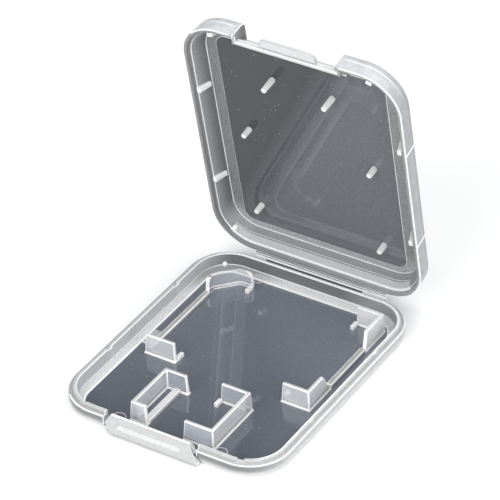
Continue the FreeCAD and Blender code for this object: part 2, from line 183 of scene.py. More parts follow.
def drawn_in(point):
    """A point of the closed lid after the outer walls lean in towards the roof, then turned open."""
    x, y, z = point
    centre_x = max(-CORNER_X, min(CORNER_X, x))
    centre_y = max(-CORNER_Y, min(CORNER_Y, y))
    away_x = x - centre_x
    away_y = y - centre_y
    radius = math.hypot(away_x, away_y)
    if radius <= LID_FOOT_RADIUS or z <= CREST:
        return opened(point)
    outward = (radius - LID_FOOT_RADIUS) / (OUTER_RADIUS - LID_FOOT_RADIUS)
    share = outward * (z - CREST) / (ROOF_TOP - CREST)
    if away_y < 0.0:
        share *= abs(away_x) / radius
    kept = 1.0 - LID_DRAFT * share / radius
    return opened((centre_x + away_x * kept, centre_y + away_y * kept, z))


# Materials

# Grain of the surfaces, in cells per metre
CLOUDED = 700.0
GLOSSY = 900.0
SATIN = 1500.0
ETCHED = 4500.0
STIPPLED = 5500.0
PANE_GRAIN = 4000.0
PANE_DETAIL = 2.0
PANE_SPREAD = 0.12
PANE_ROUGHNESS = 0.04
# The part of the noise that is used, and the bump it makes (millimetres)
NOISE_LOW = 0.32
NOISE_HIGH = 0.68
BUMP_STRENGTH = 0.15
BUMP_HEIGHT = 0.02
# A see-through pin grows denser where its surface turns away: where that starts and ends
GLANCE_START = 0.15
GLANCE_END = 0.6
# Specks of dust: cells per metre, their size in a cell, and which cells hold one
SPECK_CELLS = 1100.0
SPECK_CORE = 0.05
SPECK_EDGE = 0.09
SPECK_FAINT = 0.72
SPECK_FULL = 0.88
SPECK_COLOUR = (0.7, 0.72, 0.74)


def add_node(tree, kind, **settings):
    """A shader node with its named inputs set."""
    node = tree.nodes.new(kind)
    for name, value in settings.items():
        node.inputs[name.replace("_", " ")].default_value = value
    return node


def new_material(name, roughness, specular=0.5, ior=1.45):
    """A material with its shader and its node tree."""
    material = bpy.data.materials.new(name)
    material.use_nodes = True
    shader = material.node_tree.nodes["Principled BSDF"]
    shader.inputs["Roughness"].default_value = roughness
    shader.inputs["IOR"].default_value = ior
    shader.inputs["Specular IOR Level"].default_value = specular
    return material, shader, material.node_tree


def share_along(tree, vector, direction, low, high):
    """How far a vector goes along a direction, from nothing at low to one at high."""
    along = tree.nodes.new("ShaderNodeVectorMath")
    along.operation = "DOT_PRODUCT"
    along.inputs[1].default_value = direction
    tree.links.new(vector, along.inputs[0])
    share = add_node(tree, "ShaderNodeMapRange", From_Min=low, From_Max=high)
    tree.links.new(along.outputs["Value"], share.inputs["Value"])
    return share.outputs["Result"]


def mixed(tree, share, first, second):
    """Two colours mixed by a share; each is a constant or another node's output."""
    mix = tree.nodes.new("ShaderNodeMix")
    mix.data_type = "RGBA"
    tree.links.new(share, mix.inputs["Factor"])
    for socket, colour in ((mix.inputs["A"], first), (mix.inputs["B"], second)):
        if isinstance(colour, tuple):
            socket.default_value = (*colour, 1.0)
        else:
            tree.links.new(colour, socket)
    return mix.outputs["Result"]


def grained(tree, place, colour, scale, detail, spread):
    """A colour made a little darker and lighter by a fine noise; also gives the noise."""
    noise = add_node(tree, "ShaderNodeTexNoise", Scale=scale, Detail=detail)
    tree.links.new(place.outputs["Object"], noise.inputs["Vector"])
    level = add_node(tree, "ShaderNodeMapRange", From_Min=NOISE_LOW, From_Max=NOISE_HIGH,
                     To_Min=1.0 - spread, To_Max=1.0 + spread)
    tree.links.new(noise.outputs["Fac"], level.inputs["Value"])
    scaled = tree.nodes.new("ShaderNodeVectorMath")
    scaled.operation = "SCALE"
    if isinstance(colour, tuple):
        scaled.inputs[0].default_value = colour
    else:
        tree.links.new(colour, scaled.inputs[0])
    tree.links.new(level.outputs["Result"], scaled.inputs["Scale"])
    return scaled.outputs["Vector"], noise.outputs["Fac"]


def frosted(name, colour, spread, scale, roughness=0.35, detail=2.0, alpha=1.0, edge_alpha=None,
            shades=()):
    """A satin plastic with a fine grain, with painted light and shade. Each of its shades is (colour,
    source, direction, low, high): the colour comes in along a direction of the place ("Object") or of the
    facing ("Normal")."""
    material, shader, tree = new_material(name, roughness)
    place = tree.nodes.new("ShaderNodeTexCoord")
    shade = colour
    for other, source, *stretch in shades:
        shade = mixed(tree, share_along(tree, place.outputs[source], *stretch), shade, other)
    shade, height = grained(tree, place, shade, scale, detail, spread)
    tree.links.new(shade, shader.inputs["Base Color"])
    shader.inputs["Alpha"].default_value = alpha
    if edge_alpha is not None:
        glance = add_node(tree, "ShaderNodeLayerWeight", Blend=0.5)
        density = add_node(tree, "ShaderNodeMapRange", From_Min=GLANCE_START, From_Max=GLANCE_END,
                           To_Min=alpha, To_Max=edge_alpha)
        tree.links.new(glance.outputs["Facing"], density.inputs["Value"])
        tree.links.new(density.outputs["Result"], shader.inputs["Alpha"])
    bump = add_node(tree, "ShaderNodeBump", Strength=BUMP_STRENGTH, Distance=BUMP_HEIGHT * MM)
    tree.links.new(height, bump.inputs["Height"])
    tree.links.new(bump.outputs["Normal"], shader.inputs["Normal"])
    return material


def slate_pane(name, shading, first, second, specular, ior):
    """A clear, tinted pane painted darker, as it shows against something dark; a slow shade along one
    direction is a painted reflection, and specks of dust lie on it.
    """
    material, shader, tree = new_material(name, PANE_ROUGHNESS, specular, ior)
    place = tree.nodes.new("ShaderNodeTexCoord")
    source, *stretch = shading
    shade = mixed(tree, share_along(tree, place.outputs[source], *stretch), first, second)
    shade = grained(tree, place, shade, PANE_GRAIN, PANE_DETAIL, PANE_SPREAD)[0]
    cells = add_node(tree, "ShaderNodeTexVoronoi", Scale=SPECK_CELLS)
    tree.links.new(place.outputs["Object"], cells.inputs["Vector"])
    near = add_node(tree, "ShaderNodeMapRange", From_Min=SPECK_EDGE, From_Max=SPECK_CORE)
    tree.links.new(cells.outputs["Distance"], near.inputs["Value"])
    chosen = share_along(tree, cells.outputs["Color"], RIGHTWARD, SPECK_FAINT, SPECK_FULL)
    speck = tree.nodes.new("ShaderNodeMath")
    speck.operation = "MULTIPLY"
    tree.links.new(near.outputs["Result"], speck.inputs[0])
    tree.links.new(chosen, speck.inputs[1])
    dusty = mixed(tree, speck.outputs["Value"], shade, SPECK_COLOUR)
    tree.links.new(dusty, shader.inputs["Base Color"])
    return material


def grey(level, blue=0.03):
    """A neutral shade with a little blue in it."""
    return (level * (1.0 - blue), level, level * (1.0 + blue))


# Where the second shades of a material come in: painted light and shade, by place or by facing

RIGHTWARD = (1.0, 0.0, 0.0)
FRONTWARD = (0.0, -1.0, 0.0)
REARWARD = (0.0, 1.0, 0.0)
UPWARD = (0.0, 0.0, 1.0)
REAR_LEFTWARD = (-0.6, 0.8, 0.0)
RIGHT_AND_DOWN = (0.868, 0.0, -0.497)
LID_DEPTH = (0.0, math.sin(OPEN_ANGLE), math.cos(OPEN_ANGLE))
LID_FRONT = (0.0, -math.cos(OPEN_ANGLE), math.sin(OPEN_ANGLE))


def by_place(direction, low, high):
    """Comes in between two places along a direction (millimetres)."""
    return "Object", direction, low * MM, high * MM


def by_facing(direction, low, high):
    """Comes in as the surface turns to face a direction."""
    return "Normal", direction, low, high


def into_lid(first, second):
    """Comes in between two heights of the closed lid, along the depth of the open one."""
    axis = LID_DEPTH[1] * AXIS_Y + LID_DEPTH[2] * AXIS_Z - AXIS_Z
    return by_place(LID_DEPTH, axis + first, axis + second)


def along_lid(place):
    """How far up the open lid a place along the closed one lies."""
    return AXIS_Z * LID_FRONT[2] + AXIS_Y * LID_FRONT[1] - (place - AXIS_Y)


CLIP_REAR = size_of("micro_clip_left")[1].y
LEFT_TO_RIGHT = by_place(RIGHTWARD, -18.0, 20.0)
RIGHT_HALF = by_place(RIGHTWARD, 6.0, 16.0)
PAST_LEFT_EDGE = by_place(RIGHTWARD, -20.6, -18.6)
FAR_BORDER = by_place(RIGHTWARD, 13.0, 17.0)
REAR_LEFT = by_place(REAR_LEFTWARD, 22.0, 27.0)
CLIP_REAR_WALL = by_place(REARWARD, CLIP_REAR - 1.6, CLIP_REAR - 0.8)
TOWARDS_FOOT = by_place(UPWARD, 1.5, 0.2)
NEAR_HINGE = by_place(LID_FRONT, along_lid(18.0), along_lid(21.5))
DEEP_IN_LID = into_lid(RIM_HEIGHT + 0.4, RIM_HEIGHT + 2.2)
FRONT_TO_REAR = by_place(REARWARD, -22.0, 22.0)
ACROSS_LID = by_place(RIGHT_AND_DOWN, -22.4, -14.6)
FACING_FRONT = by_facing(FRONTWARD, 0.1, 0.9)
FACING_RIGHT = by_facing(RIGHTWARD, 0.3, 0.9)
FACING_LID_FRONT = by_facing(LID_FRONT, 0.2, 0.9)

# Painted highlights on the lid's right wall, where the lugs would show through: place, width, and how
# softly they start and end
LUG_LINE_PAST = 0.55
LUG_LINE_WIDTH = 0.4
LUG_LINE_START = 0.1
LUG_LINE_END = 0.3
LUG_HIGHLIGHT_COLOUR = grey(0.95, 0.0)


def painted_lug_highlights(colour):
    """Shades for the outer wall: on its right, each lug is painted on as a pale line, a highlight seen
    through the wall.
    """
    shades = []
    for place in reversed(NOTCH_SIDES):
        low = along_lid(place + LUG_LINE_PAST)
        high = low + LUG_LINE_WIDTH
        shades.append((LUG_HIGHLIGHT_COLOUR, *by_place(LID_FRONT, low, low + LUG_LINE_START)))
        shades.append((colour, *by_place(LID_FRONT, high, high + LUG_LINE_END)))
    right_wall = CORNER_X + LIP_RADIUS
    shades.append((colour, *by_place(RIGHTWARD, right_wall, right_wall - LUG_LINE_START)))
    return shades


def lid_wall(name, level, front_level, spread, scale, detail):
    """The outer wall of the lid, with painted lug highlights and a front painted lighter, as lit."""
    shades = painted_lug_highlights(grey(level)) + [(grey(front_level), *FACING_LID_FRONT)]
    return frosted(name, grey(level), spread, scale, detail=detail, shades=shades)


def satin(name, level, blue=0.0, spread=0.05, shades=()):
    """A smooth grey face of the moulding."""
    return frosted(name, grey(level, blue), spread, SATIN, shades=shades)


# Painted shade on the faces that look to the front, and painted light towards the foot, where the wall
# fades to white
tray_outside = satin("tray_outside", 0.5, 0.01,
                     shades=[(grey(0.23, 0.01), *FACING_FRONT), (grey(0.88, 0.0), *TOWARDS_FOOT)])
# Painted shade: darker on the left, lighter on the right, as the light falls
tray_ledge = satin("tray_ledge", 0.42, 0.01, 0.06, [(grey(0.5, 0.01), *LEFT_TO_RIGHT)])
tray_rim = satin("tray_rim", 0.55, 0.01, 0.06, [(grey(0.6, 0.01), *LEFT_TO_RIGHT)])
# Painted shade: the inner walls that face the front are darker, and lightened again on the right half
tray_inside = frosted("tray_inside", grey(0.54), 0.16, ETCHED,
                      shades=[(grey(0.155), *FACING_FRONT), (grey(0.36), *RIGHT_HALF)])
# Painted shade in the rear left corner of the border; the rear border is a copy painted lighter
tray_border = frosted("tray_border", grey(0.64, 0.01), 0.3, STIPPLED, detail=0.5,
                      shades=[(grey(0.36, 0.01), *REAR_LEFT)])
rear_border = frosted("rear_border", grey(0.8, 0.01), 0.22, STIPPLED, detail=0.5,
                      shades=[(grey(0.36, 0.01), *REAR_LEFT)])
# The lid's outer wall in three painted tones: the wall, its roof rounding a little darker, and a painted
# highlight band; each with painted lug highlights and its front painted lighter
lid_outside = lid_wall("lid_outside", 0.38, 0.58, 0.1, CLOUDED, 4.0)
lid_round = lid_wall("lid_round", 0.32, 0.52, 0.1, CLOUDED, 4.0)
lid_highlight_band = lid_wall("lid_highlight_band", 0.4, 0.8, 0.08, GLOSSY, 2.0)
# Painted shade: the lid's inner wall darker where it faces right and deep in the lid, with a middle shade
# near the hinge
lid_inside = frosted("lid_inside", grey(0.38), 0.16, ETCHED,
                     shades=[(grey(0.29), *FACING_RIGHT), (grey(0.14), *DEEP_IN_LID),
                             (grey(0.28), *NEAR_HINGE)])
# Painted light: a lighter copy of the lid's inner wall, for its low wall on the hinge side
lid_low_wall = frosted("lid_low_wall", grey(0.5, 0.01), 0.14, ETCHED)
# Painted shade: darker on the left, lighter on the right, as the light falls
lid_crest = frosted("lid_crest", grey(0.25, 0.01), 0.2, STIPPLED,
                    shades=[(grey(0.34, 0.01), *LEFT_TO_RIGHT)])
# Painted shade: darker at the far left, lighter near the hinge
lid_border = frosted("lid_border", grey(0.27, 0.02), 0.35, 6000.0, roughness=0.5, detail=0.5,
                     shades=[(grey(0.2, 0.02), *PAST_LEFT_EDGE), (grey(0.27, 0.02), *FAR_BORDER),
                             (grey(0.42, 0.02), *NEAR_HINGE)])
scoop_face = satin("scoop_face", 0.6, 0.01, 0.08)
tab_face = satin("tab_face", 0.66)
lip_face = satin("lip_face", 0.53)
# Painted light and shade of the thumb lip: its sunk panel lighter than its face, and a dark copy for the
# walls that face away from the light
lip_groove = satin("lip_groove", 0.7)
lip_edge = satin("lip_edge", 0.6)
lip_painted_shade = satin("lip_painted_shade", 0.4, 0.01)
rail_top = satin("rail_top", 0.42, 0.01, 0.08)
# Painted shade: a dark line along the tray's outer edge on the left, where the light does not catch it
painted_shade_line = satin("outline", 0.3, 0.01)
# Painted highlight, softer: pale lines where the fillets at the walls' feet, the hinge-side step and the
# pin marks catch the light
painted_soft_highlight = frosted("painted_soft_highlight", grey(0.82, 0.01), 0.1, GLOSSY)
# Painted highlight: near white, for the light that the clear plastic catches and carries to its edges and
# ends
bright = frosted("bright_edge", grey(0.97, 0.0), 0.03, GLOSSY, roughness=0.25)
# Painted shade: the left clip darker on its rear wall, the right clip darker on the faces that look to
# the front
clear = frosted("clear_wall", (0.93, 0.955, 0.99), 0.03, 600.0, roughness=0.12, alpha=0.4,
                shades=[((0.56, 0.6, 0.68), *CLIP_REAR_WALL)])
glassy = frosted("glassy_wall", (0.95, 0.965, 0.99), 0.03, 600.0, roughness=0.12, alpha=0.45,
                 shades=[((0.64, 0.68, 0.75), *FACING_FRONT)])
thin = frosted("thin_wall", (0.9, 0.93, 0.99), 0.04, 500.0, roughness=0.12, alpha=0.2)
frost = frosted("frosted_wall", (0.93, 0.95, 0.985), 0.03, CLOUDED, roughness=0.25, alpha=0.42)
mist = frosted("misty_wall", (0.95, 0.95, 0.965), 0.03, 1200.0, roughness=0.3, alpha=0.66)
pale = frosted("pale_pin", grey(0.95, 0.0), 0.04, GLOSSY, roughness=0.25, alpha=0.74, edge_alpha=1.0)
solid_block = frosted("rest_block", grey(0.9, 0.0), 0.05, 1200.0, roughness=0.3, alpha=0.96)
web = frosted("hinge_web", grey(0.78, 0.01), 0.12, ETCHED)
# Painted shadow: a near black sheet in the hinge slot, where there is only shade
painted_slot_shadow = frosted("hinge_painted_slot_shadow", grey(0.04), 0.2, 3000.0)
# Painted reflections: the base pane lightens towards the rear, the lid pane towards its lower right
base_pane = slate_pane("base_pane", FRONT_TO_REAR, (0.104, 0.118, 0.143), (0.19, 0.21, 0.245),
                       specular=0.8, ior=1.7)
lid_pane = slate_pane("lid_pane", ACROSS_LID, (0.03, 0.034, 0.041), (0.158, 0.167, 0.18),
                      specular=0.6, ior=1.5)


# Building pieces

def make_piece(name, points, faces, looks, body, slot, replaced=()):
    """A mesh whose faces each name their material, riding on a body of the frame."""
    mesh = bpy.data.meshes.new(name)
    mesh.from_pydata([Vector(point) * MM for point in points], [], faces)
    kinds = list(dict.fromkeys(looks))
    for kind in kinds:
        mesh.materials.append(kind)
    for polygon, look in zip(mesh.polygons, looks):
        polygon.material_index = kinds.index(look)
        polygon.use_smooth = True
    work = bmesh.new()
    work.from_mesh(mesh)
    bmesh.ops.recalc_face_normals(work, faces=work.faces)
    work.to_mesh(mesh)
    work.free()
    mesh.set_sharp_from_angle(angle=math.radians(SHARP_ANGLE))
    piece = bpy.data.objects.new(name, mesh)
    bpy.context.scene.collection.objects.link(piece)
    if body is not None:
        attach(piece, body)
    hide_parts(*replaced)
    return piece


def soften(piece, width=BEVEL_WIDTH, angle=BEVEL_ANGLE, edge=bright):
    """Rounds the sharp edges of a piece and gives the rounding its own look, by default a painted
    highlight.
    """
    if edge.name not in piece.data.materials:
        piece.data.materials.append(edge)
    bevel = piece.modifiers.new("soft_edges", "BEVEL")
    bevel.width = width * MM
    bevel.segments = BEVEL_STEPS
    bevel.limit_method = "ANGLE"
    bevel.angle_limit = math.radians(angle)
    bevel.material = list(piece.data.materials).index(edge)
    bevel.use_clamp_overlap = False


def loft(outlines, cap_looks, side_looks):
    """Points, faces and looks of a solid through outlines of equal length. Each stretch between
    two outlines has one side look, or a list of them for its faces."""
    points = [point for outline in outlines for point in outline]
    count = len(outlines[0])
    faces = [tuple(range(count)), tuple(range(len(points) - count, len(points)))]
    looks = list(cap_looks)
    for stretch, look in enumerate(side_looks):
        start = stretch * count
        for index in range(count):
            after = (index + 1) % count
            faces.append((start + index, start + after, start + count + after, start + count + index))
            looks.append(look[index] if isinstance(look, list) else look)
    return points, faces, looks


def block(low, high, look, top_look):
    """A straight block between two corners."""
    corners = [(low[0], low[1]), (high[0], low[1]), (high[0], high[1]), (low[0], high[1])]
    outlines = [[(x, y, z) for x, y in corners] for z in (low[2], high[2])]
    return loft(outlines, [look, top_look], [look])


SHARPEST_MITRE = 0.3


def mitre(into, away, distance):
    """The step that moves a corner to the left of both its edges by a distance."""
    normal = Vector((-into.y, into.x))
    middle = (normal + Vector((-away.y, away.x))).normalized()
    return middle * (distance / max(SHARPEST_MITRE, middle.dot(normal)))


def inset(outline, distance):
    """An outline moved inward by a distance; it runs anticlockwise."""
    moved = []
    count = len(outline)
    for index in range(count):
        here = Vector(outline[index])
        into = (here - Vector(outline[index - 1])).normalized()
        away = (Vector(outline[(index + 1) % count]) - here).normalized()
        moved.append(tuple(here + mitre(into, away, distance)))
    return moved


def arc(centre_radius, centre_height, radius, start, finish):
    """Radius and height along a rounding of a wall's section."""
    turns = [math.radians(start + (finish - start) * step / ARC_STEPS) for step in range(ARC_STEPS + 1)]
    return [(centre_radius + radius * math.cos(turn), centre_height + radius * math.sin(turn))
            for turn in turns]


# Walls that run round the case: a section is carried from station to station

# A place on one side, or an angle round one corner; sunk where a notch is
Station = namedtuple("Station", "side place sunk", defaults=(False,))
# A line of the section and the look of the face after it, by side where it is a dictionary;
# it may sink at the notches, and stand in by a step on the hinge side
Ring = namedtuple("Ring", "radius height look rect sinks step", defaults=(CASE, False, 0.0))
END_RUN = SOFT * 1.3
REAR_FADE_START = 35.0
REAR_FADE_TURN = 55.0


def around(rect, radius, station):
    """The place at one station on the outline this far from a rectangle."""
    left, right, front, rear = rect
    side, place = station.side, station.place
    if side == "front":
        return place, front - radius
    if side == "right":
        return right + radius, place
    if side == "left":
        return left - radius, place
    centre_x = right if side.endswith("right") else left
    centre_y = rear if side.startswith("rear") else front
    turn = math.radians(place)
    return centre_x + radius * math.cos(turn), centre_y + radius * math.sin(turn)


def notch_stations(side, place, half, ramp):
    """The two edges of a notch and of its floor."""
    return [Station(side, place - half), Station(side, place - half + ramp, True),
            Station(side, place + half - ramp, True), Station(side, place + half)]


def quarter(side, start, notch=None):
    """Stations round one corner, with a notch at an angle or none."""
    angles = [start + 90.0 * step / CORNER_STEPS for step in range(CORNER_STEPS + 1)]
    stations = [Station(side, angle) for angle in angles]
    if notch is not None:
        half = math.degrees(NOTCH_WIDTH / 2 / LIP_RADIUS)
        clear_of = half + NOTCH_CLEAR_ANGLE
        stations = [station for station in stations if abs(station.place - notch) > clear_of]
        stations += notch_stations(side, notch, half, NOTCH_RAMP_ANGLE)
        stations.sort(key=lambda station: station.place)
    return stations


def round_the_case(first_x, last_x, notched):
    """Stations from one place on the front edge, round the case, to another on the front edge."""
    half = NOTCH_WIDTH / 2
    notches = NOTCH_SIDES if notched else ()
    stations = [Station("front", first_x), Station("front", first_x + END_RUN)]
    stations += quarter("front_right", -90.0, -90.0 + NOTCH_ANGLE if notched else None)
    for place in notches:
        stations += notch_stations("right", place, half, NOTCH_RAMP)
    stations += quarter("rear_right", 0.0)
    stations += quarter("rear_left", 90.0)
    for place in reversed(notches):
        stations += reversed(notch_stations("left", place, half, NOTCH_RAMP))
    stations += quarter("front_left", 180.0, 270.0 - NOTCH_ANGLE if notched else None)
    stations += [Station("front", last_x - END_RUN), Station("front", last_x)]
    return stations


def rear_share(station):
    """One on the hinge side, fading to nothing round its corners."""
    if station.side == "rear_right":
        share = (station.place - REAR_FADE_START) / REAR_FADE_TURN
    elif station.side == "rear_left":
        share = (180.0 - REAR_FADE_START - station.place) / REAR_FADE_TURN
    else:
        return 0.0
    share = max(0.0, min(1.0, share))
    return share * share * (3 - 2 * share)


def side_of(station):
    """Which side of the case a station faces most."""
    if station.side in ("front", "right", "left"):
        return station.side
    turn = (station.place + 45.0) % 360.0
    return ("right", "rear", "left", "front")[int(turn // 90.0)]


def swept(stations, rings):
    """The outlines of a section carried round the case, one at each station."""
    outlines = []
    for station in stations:
        share = rear_share(station)
        outline = []
        for ring in rings:
            x, y = around(ring.rect, ring.radius - ring.step * share, station)
            drop = NOTCH_DEPTH if ring.sinks and station.sunk else 0.0
            outline.append((x, y, ring.height - drop))
        outlines.append(outline)
    return outlines


def look_on(side, look):
    """A ring's look on one side of the case."""
    return look.get(side, look["other"]) if isinstance(look, dict) else look


def swept_looks(stations, rings, end_look):
    """The looks of the faces between those outlines; the first and last stretch have the end look."""
    sides = [side_of(station) for station in stations[1:-2]]
    looks = [[look_on(side, ring.look) for ring in rings] for side in sides]
    return [end_look, *looks, end_look]


# Small steps of both sections: fillets, eased corners and the lines that carry painted highlights
FILLET = 0.06
FOOT_EASE = 0.1
EDGE_WIDTH = 0.2
EDGE_START = 0.01
EDGE_MIDDLE = 0.05
EDGE_DEPTH = 0.17


# Tray wall

PANE_LAP = 0.02
BORDER_EASE = 0.08
BORDER_LINE = 0.3
LIP_LINE_START = 0.18
LIP_LINE_END = 0.42
LOW_SOFT = 0.08


def build_tray_shell():
    """The floor border, the wall, the lip with its notches, the ledge and the rounded foot."""
    # Painted highlights on the pane's edge, on the lip's inner edge and, on the right and rear, as a line
    # on its top, and on the ledge's outer edge, save on the left, where a painted shade line stands
    # instead; the rear border is painted lighter
    border = {"rear": rear_border, "other": tray_border}
    lip_line = {"right": bright, "rear": bright, "other": tray_rim}
    edge_start = {"left": tray_ledge, "other": bright}
    edge = {"left": painted_shade_line, "other": bright}
    foot_radius = INNER_RADIUS - WALL_DRAFT
    rings = [
        Ring(PANE_CORNER, 0.0, tray_outside, PANE),
        Ring(PANE_CORNER, PANE_TOP - PANE_LAP, bright, PANE),
        Ring(PANE_CORNER + PANE_LAP, BORDER_TOP - BORDER_EASE, bright, PANE),
        Ring(PANE_CORNER + BORDER_LINE, BORDER_TOP, border, PANE),
        Ring(foot_radius - FOOT_EASE, BORDER_TOP, painted_soft_highlight),
        Ring(foot_radius, BORDER_TOP + FOOT_EASE, tray_inside),
        Ring(INNER_RADIUS, LIP_TOP - SOFT, bright, sinks=True),
        Ring(INNER_RADIUS + SOFT_MIDDLE, LIP_TOP - SOFT_MIDDLE, bright, sinks=True),
        Ring(INNER_RADIUS + SOFT, LIP_TOP, bright, sinks=True),
        Ring(INNER_RADIUS + LIP_LINE_START, LIP_TOP, lip_line, sinks=True),
        Ring(INNER_RADIUS + LIP_LINE_END, LIP_TOP, tray_rim, sinks=True),
        Ring(LIP_RADIUS - SOFT, LIP_TOP, tray_rim, sinks=True),
        Ring(LIP_RADIUS - SOFT_MIDDLE, LIP_TOP - SOFT_MIDDLE, tray_rim, sinks=True),
        Ring(LIP_RADIUS, LIP_TOP - SOFT, tray_ledge, sinks=True),
        Ring(LIP_RADIUS, LEDGE_TOP + FILLET, tray_ledge),
        Ring(LIP_RADIUS + FILLET, LEDGE_TOP, tray_ledge),
        Ring(OUTER_RADIUS - EDGE_WIDTH, LEDGE_TOP, edge_start),
        Ring(OUTER_RADIUS - SOFT, LEDGE_TOP - EDGE_START, edge),
        Ring(OUTER_RADIUS - SOFT_MIDDLE, LEDGE_TOP - EDGE_MIDDLE, edge),
        Ring(OUTER_RADIUS, LEDGE_TOP - EDGE_DEPTH, tray_outside)]
    foot = arc(OUTER_RADIUS - BOTTOM_ROUND, BOTTOM_ROUND, BOTTOM_ROUND, 0.0, -90.0)
    rings += [Ring(radius, height, tray_outside) for radius, height in foot]
    stations = round_the_case(LIP_CUT_RIGHT, LIP_CUT_LEFT, True)
    solid = loft(swept(stations, rings), [bright, tray_inside], swept_looks(stations, rings, bright))
    make_piece("tray_shell", *solid, "tray", "frame", ["base_frame"])


def build_front_sill():
    """The low wall behind the thumb lip, between the ends of the tray's wall."""
    low = (LIP_CUT_LEFT, LIP_CUT_FACE, 0.0)
    high = (LIP_CUT_RIGHT, pane_low.y, BORDER_TOP)
    sill = block(low, high, tray_outside, tray_border)
    soften(make_piece("front_sill", *sill, "tray", "frame"), LOW_SOFT)


build_tray_shell()
build_front_sill()


# Lid wall, drawn closed and turned open

# The step along the hinge wall: how far it stands in at its foot, its face and its edge
RIB_FOOT = 0.15
RIB_FACE = 0.377
RIB_EDGE = 0.3
STEP_LEAN = 0.03
STEP_EDGE_EASE = 0.02
STEP_EDGE_LEAN = 0.01
RIM_EASE = 0.14
RIM_LAP = 0.03
SKIRT_EASE = 0.05
ROOF_EDGE = arc(OUTER_RADIUS - ROOF_ROUND, ROOF_TOP - ROOF_ROUND, ROOF_ROUND, 0.0, 90.0)


def build_lid_shell():
    """The border, the sloping wall with its step, the rim, the skirt and the rounded roof edge."""
    slope = (RIM_RADIUS - LID_FOOT_RADIUS) / (LID_FLOOR - RIM_HEIGHT)
    step_radius = LID_FOOT_RADIUS + slope * (LID_FLOOR - STEP_HEIGHT)
    # Painted light on the hinge side: a pale step line, a lighter low wall and a highlight on the rim's
    # face; painted highlights on the rim's inner edge all round and on the outer edge at the right and
    # front
    step_line = {"rear": painted_soft_highlight, "other": lid_inside}
    low_wall = {"rear": lid_low_wall, "other": lid_inside}
    rim_face = {"rear": bright, "other": lid_crest}
    outer_line = {"right": bright, "front": bright, "other": lid_crest}
    rings = [
        Ring(LID_PANE_CORNER, ROOF_TOP, lid_outside, LID_PANE),
        Ring(LID_PANE_CORNER, LID_FLOOR, lid_border, LID_PANE),
        Ring(LID_FOOT_RADIUS - FILLET, LID_FLOOR, painted_soft_highlight, step=RIB_FOOT),
        Ring(LID_FOOT_RADIUS + FILLET, LID_FLOOR - FOOT_EASE, lid_inside, step=RIB_FOOT),
        Ring(step_radius - STEP_LEAN, STEP_HEIGHT + FILLET, step_line, step=RIB_FACE),
        Ring(step_radius - STEP_EDGE_LEAN, STEP_HEIGHT + STEP_EDGE_EASE, lid_inside, step=RIB_EDGE),
        Ring(step_radius + STEP_LEAN, STEP_HEIGHT - FILLET, low_wall),
        Ring(RIM_RADIUS - FILLET, RIM_HEIGHT + RIM_EASE, bright),
        Ring(RIM_RADIUS + RIM_LAP, RIM_HEIGHT, rim_face),
        Ring(SKIRT_RADIUS - SKIRT_EASE, RIM_HEIGHT, lid_crest),
        Ring(SKIRT_RADIUS, RIM_HEIGHT - FILLET, lid_crest),
        Ring(SKIRT_RADIUS, CREST + FILLET, lid_crest),
        Ring(SKIRT_RADIUS + FILLET, CREST, lid_crest),
        Ring(OUTER_RADIUS - EDGE_WIDTH, CREST, outer_line),
        Ring(OUTER_RADIUS - SOFT_MIDDLE, CREST + EDGE_MIDDLE, outer_line),
        Ring(OUTER_RADIUS, CREST + EDGE_DEPTH, lid_outside),
        Ring(OUTER_RADIUS, HIGHLIGHT_BAND, lid_highlight_band),
        Ring(OUTER_RADIUS, HIGHLIGHT_BAND + HIGHLIGHT_BAND_WIDTH, lid_round)]
    rings += [Ring(radius, height, lid_round) for radius, height in ROOF_EDGE]
    stations = round_the_case(SCOOP_RIGHT + BLOCK_END, SCOOP_LEFT - BLOCK_END, False)
    outlines = [[drawn_in(point) for point in outline] for outline in swept(stations, rings)]
    solid = loft(outlines, [lid_inside, lid_inside], swept_looks(stations, rings, lid_outside))
    make_piece("lid_shell", *solid, "lid", "frame", ["lid_frame", "hinge_rib"])


build_lid_shell()


# Scoop of the lid: the ends of the two blocks and the sloping wall between them

FRONT = -CORNER_Y
SCOOP_SETBACK = 4.76
SLOPE_LEDGE = 0.47
SLOPE_RUN = 1.78
SCOOP_TOP = -HALF_Y + SCOOP_SETBACK
SLOPE_HIGH = SCOOP_TOP - SLOPE_LEDGE
SLOPE_LOW = SLOPE_HIGH - SLOPE_RUN
SLOPE_FOOT = 3.8
SLOPE_WALL_LOW = 0.65
SLOPE_WALL_FOOT = 0.75
SLOPE_WALL_TOP = 0.6
SLOPE_FOOT_RISE = 0.2


def lid_section(outline, x):
    """An outline of lengths and heights of the closed lid, at one place across it, turned open."""
    return [opened((x, y, z)) for y, z in outline]


def build_scoop_block(side, face, toward):
    """The end of one of the blocks beside the scoop, with a rounded edge towards it."""
    outline = [(FRONT - radius, height) for radius, height in ROOF_EDGE]
    outline += [(SCOOP_TOP, ROOF_TOP), (SCOOP_TOP, LID_PANE_FACE), (SLOPE_HIGH, LID_PANE_FACE),
                (SLOPE_LOW, SLOPE_FOOT), (SLOPE_LOW, RIM_HEIGHT), (FRONT - SKIRT_RADIUS, RIM_HEIGHT),
                (FRONT - SKIRT_RADIUS, CREST), (FRONT - OUTER_RADIUS, CREST)]
    outline.reverse()
    outlines = [lid_section(outline, face - toward * BLOCK_END),
                lid_section(outline, face - toward * SOFT),
                lid_section(inset(outline, SOFT), face)]
    # The rounded edge towards the scoop carries a painted highlight
    solid = loft(outlines, [lid_outside, lid_inside], [lid_outside, bright])
    make_piece("scoop_block_" + side, *solid, "lid", "frame")


